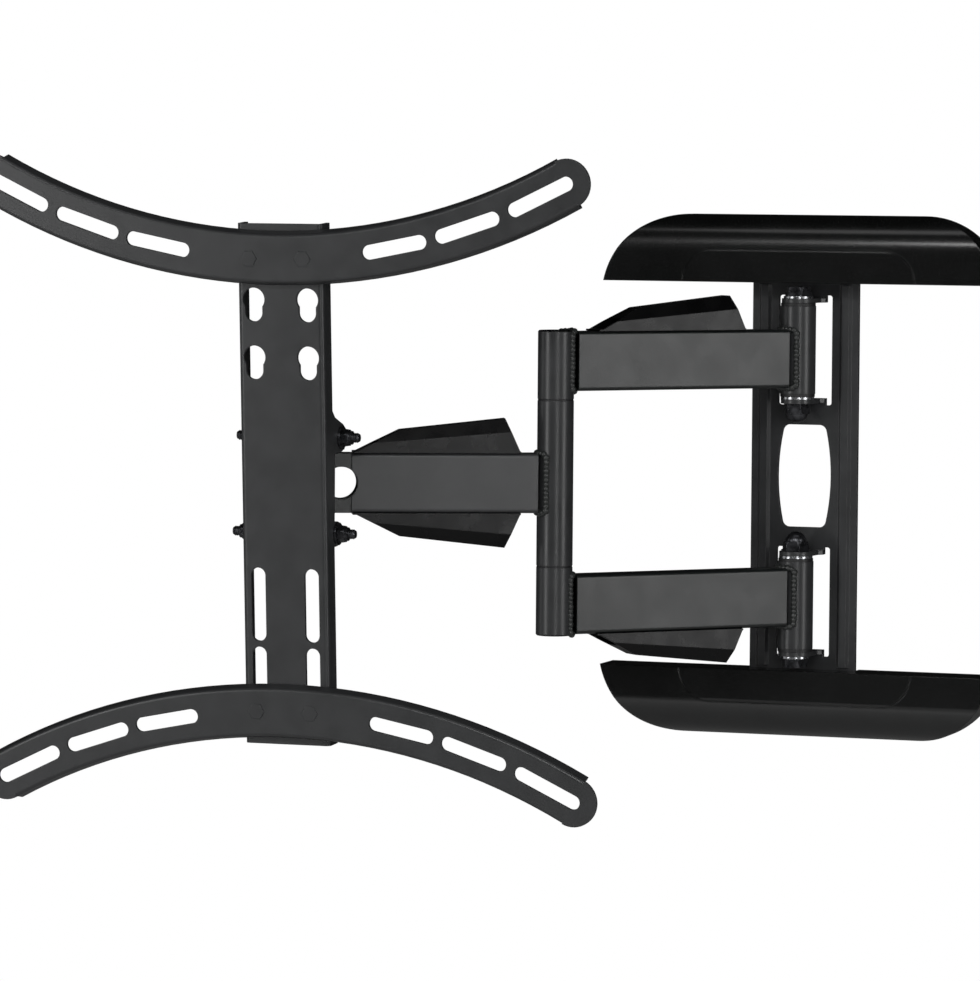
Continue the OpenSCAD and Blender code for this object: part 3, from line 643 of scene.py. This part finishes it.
@dataclass
class Studio:
    """White room, pale floor and soft boxes."""

    floor_drop: float = 0.9
    floor_size: float = 9.0
    ambient: float = 0.01
    glossy: float = 0.006
    lamps: tuple[Lamp, ...] = (
        Lamp("front", (0.3, -3.6, 2.0), (2.6, 0.5), 46.0),
        Lamp("right strip", (1.9, -3.6, 0.5), (0.22, 2.4), 22.0),
        Lamp("left strip", (-2.2, -3.0, 0.4), (0.25, 2.2), 28.0),
        Lamp("far right", (3.2, -1.0, 0.4), (0.6, 2.2), 26.0),
        Lamp("far left", (-3.2, -1.0, 0.4), (0.6, 2.2), 5.0),
        Lamp("top", (0.2, -0.8, 2.6), (2.6, 0.5), 5.0),
        Lamp("low", (0.2, -2.6, -0.9), (2.6, 0.5), 1.5),
    )

    def world(self) -> None:
        """Light the object evenly and show white behind it."""
        world = bpy.data.worlds.new("white room")
        world.use_nodes = True
        bpy.context.scene.world = world
        sheet = Sheet(world.node_tree)
        rays = sheet.add("ShaderNodeLightPath").outputs
        ambient = sheet.add("ShaderNodeBackground", Color=(self.ambient,) * 3)
        mirror = sheet.add("ShaderNodeBackground", Color=(self.glossy,) * 3)
        seen = sheet.add("ShaderNodeBackground", Color=(1.0, 1.0, 1.0))
        first = sheet.add("ShaderNodeMixShader", Fac=rays["Is Glossy Ray"])
        sheet.put(first.inputs[1], ambient.outputs[0])
        sheet.put(first.inputs[2], mirror.outputs[0])
        clear = sheet.add("ShaderNodeMath", operation="MAXIMUM")
        sheet.put(clear.inputs[0], rays["Is Camera Ray"])
        sheet.put(clear.inputs[1], rays["Is Transmission Ray"])
        last = sheet.add("ShaderNodeMixShader", Fac=clear.outputs[0])
        sheet.put(last.inputs[1], first.outputs[0])
        sheet.put(last.inputs[2], seen.outputs[0])
        output = sheet.add("ShaderNodeOutputWorld")
        sheet.put(output.inputs["Surface"], last.outputs[0])

    def floor(self, bounds: tuple[Vector, Vector]) -> None:
        """Lay the pale floor below the object.

        Args:
            bounds: the object's box.
        """
        low = bounds[0].z - self.floor_drop
        half = self.floor_size / 2
        mesh = bpy.data.meshes.new("floor")
        corners = [(-half, -half, low), (half, -half, low), (half, half, low), (-half, half, low)]
        mesh.from_pydata(corners, [], [(0, 1, 2, 3)])
        floor = bpy.data.objects.new("floor", mesh)
        bpy.context.collection.objects.link(floor)
        material = bpy.data.materials.new("pale floor")
        material.use_nodes = True
        sheet = Sheet(material.node_tree)
        rays = sheet.add("ShaderNodeLightPath").outputs
        matt = sheet.add("ShaderNodeBsdfDiffuse", Color=(0.8, 0.8, 0.8))
        seen = sheet.add("ShaderNodeEmission", Color=(1.0, 1.0, 1.0), Strength=1.0)
        mix = sheet.add("ShaderNodeMixShader", Fac=rays["Is Camera Ray"])
        sheet.put(mix.inputs[1], matt.outputs[0])
        sheet.put(mix.inputs[2], seen.outputs[0])
        output = sheet.add("ShaderNodeOutputMaterial")
        sheet.put(output.inputs["Surface"], mix.outputs[0])
        mesh.materials.append(material)
        floor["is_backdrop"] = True

    def build(self, bounds: tuple[Vector, Vector]) -> None:
        """Make the room and its lamps.

        Args:
            bounds: the object's box.
        """
        self.world()
        self.floor(bounds)
        target = (Vector(bounds[0]) + Vector(bounds[1])) / 2
        for lamp in self.lamps:
            lamp.build(target)


@dataclass(frozen=True)
class Camera:
    """A long lens, to the right of the mount and a little above its middle."""

    place: Colour = (1.05138, -3.68125, 0.22245)
    turn: float = 19.34
    pitch: float = -2.97
    roll: float = -0.43
    lens: float = 205.56
    sensor: float = 36.0
    shift: tuple[float, float] = (0.0146, -0.0541)

    def build(self) -> None:
        """Make the camera and use it."""
        data = bpy.data.cameras.new("view")
        data.lens = self.lens
        data.sensor_width = self.sensor
        data.sensor_fit = "HORIZONTAL"
        data.shift_x, data.shift_y = self.shift
        data.clip_end = 50.0
        camera = bpy.data.objects.new("view", data)
        turn, pitch, roll = (math.radians(a) for a in (self.turn, self.pitch, self.roll))
        camera.matrix_world = (Matrix.Translation(self.place) @ Matrix.Rotation(turn, 4, "Z")
                               @ Matrix.Rotation(pitch, 4, "X") @ Matrix.Rotation(roll, 4, "Y")
                               @ Matrix.Rotation(math.pi / 2, 4, "X"))
        bpy.context.collection.objects.link(camera)
        bpy.context.scene.camera = camera


def main() -> None:
    """Dress the mount, add its small pieces and set up the studio."""
    logging.basicConfig(level=logging.INFO, format="%(message)s")
    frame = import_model()
    bpy.context.scene.view_settings.view_transform = "Standard"
    wardrobe = Wardrobe()
    wardrobe.dress_frame(frame)
    places = Places(frame)
    Arms(places, GrowTree("weld seam", ring=False), wardrobe).build()
    TiltThreads(GrowTree("bolt thread", ring=True), wardrobe, frame).build()
    Studio().build(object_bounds())
    Camera().build()


if __name__ == "__main__":
    main()
